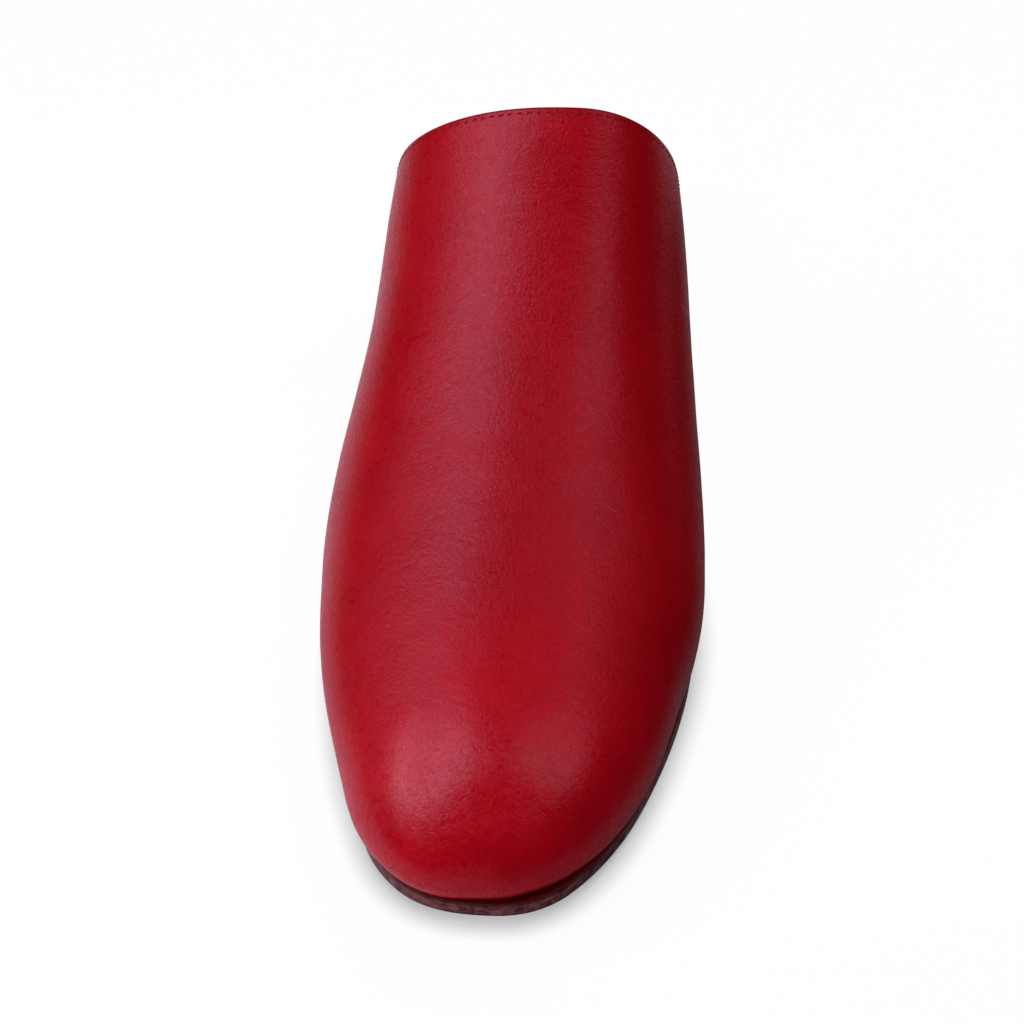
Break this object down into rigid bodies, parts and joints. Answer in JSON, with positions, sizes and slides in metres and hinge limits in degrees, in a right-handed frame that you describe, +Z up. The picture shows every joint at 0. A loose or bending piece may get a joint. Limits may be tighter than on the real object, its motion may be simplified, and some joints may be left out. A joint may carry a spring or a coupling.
{
  "type": "mule shoe",
  "caption": "Open-backed leather mule for the right foot: a plain rounded toe under a high one-piece vamp, a thin leather sole and a low stacked heel.",
  "frame": {"origin": "on the floor, under the middle of the shoe's box", "axes": "+Z up; the toe points to -Y and the heel to +Y; +X is the big-toe side of this right shoe"},
  "size_m": [0.0914, 0.2513, 0.1098],
  "materials": {
    "upper": "smooth red calf leather, semi-matte",
    "insole": "natural tan leather sock lining",
    "outsole": "dark brown burnished sole leather",
    "heel": "dark brown stacked leather, burnished",
    "top_lift": "dark brown rubber"
  },
  "bodies": {
    "root": {"upper": "upper", "insole": "insole", "outsole": "outsole", "heel": "heel", "top_lift": "top_lift"}
  },
  "joints": []
}
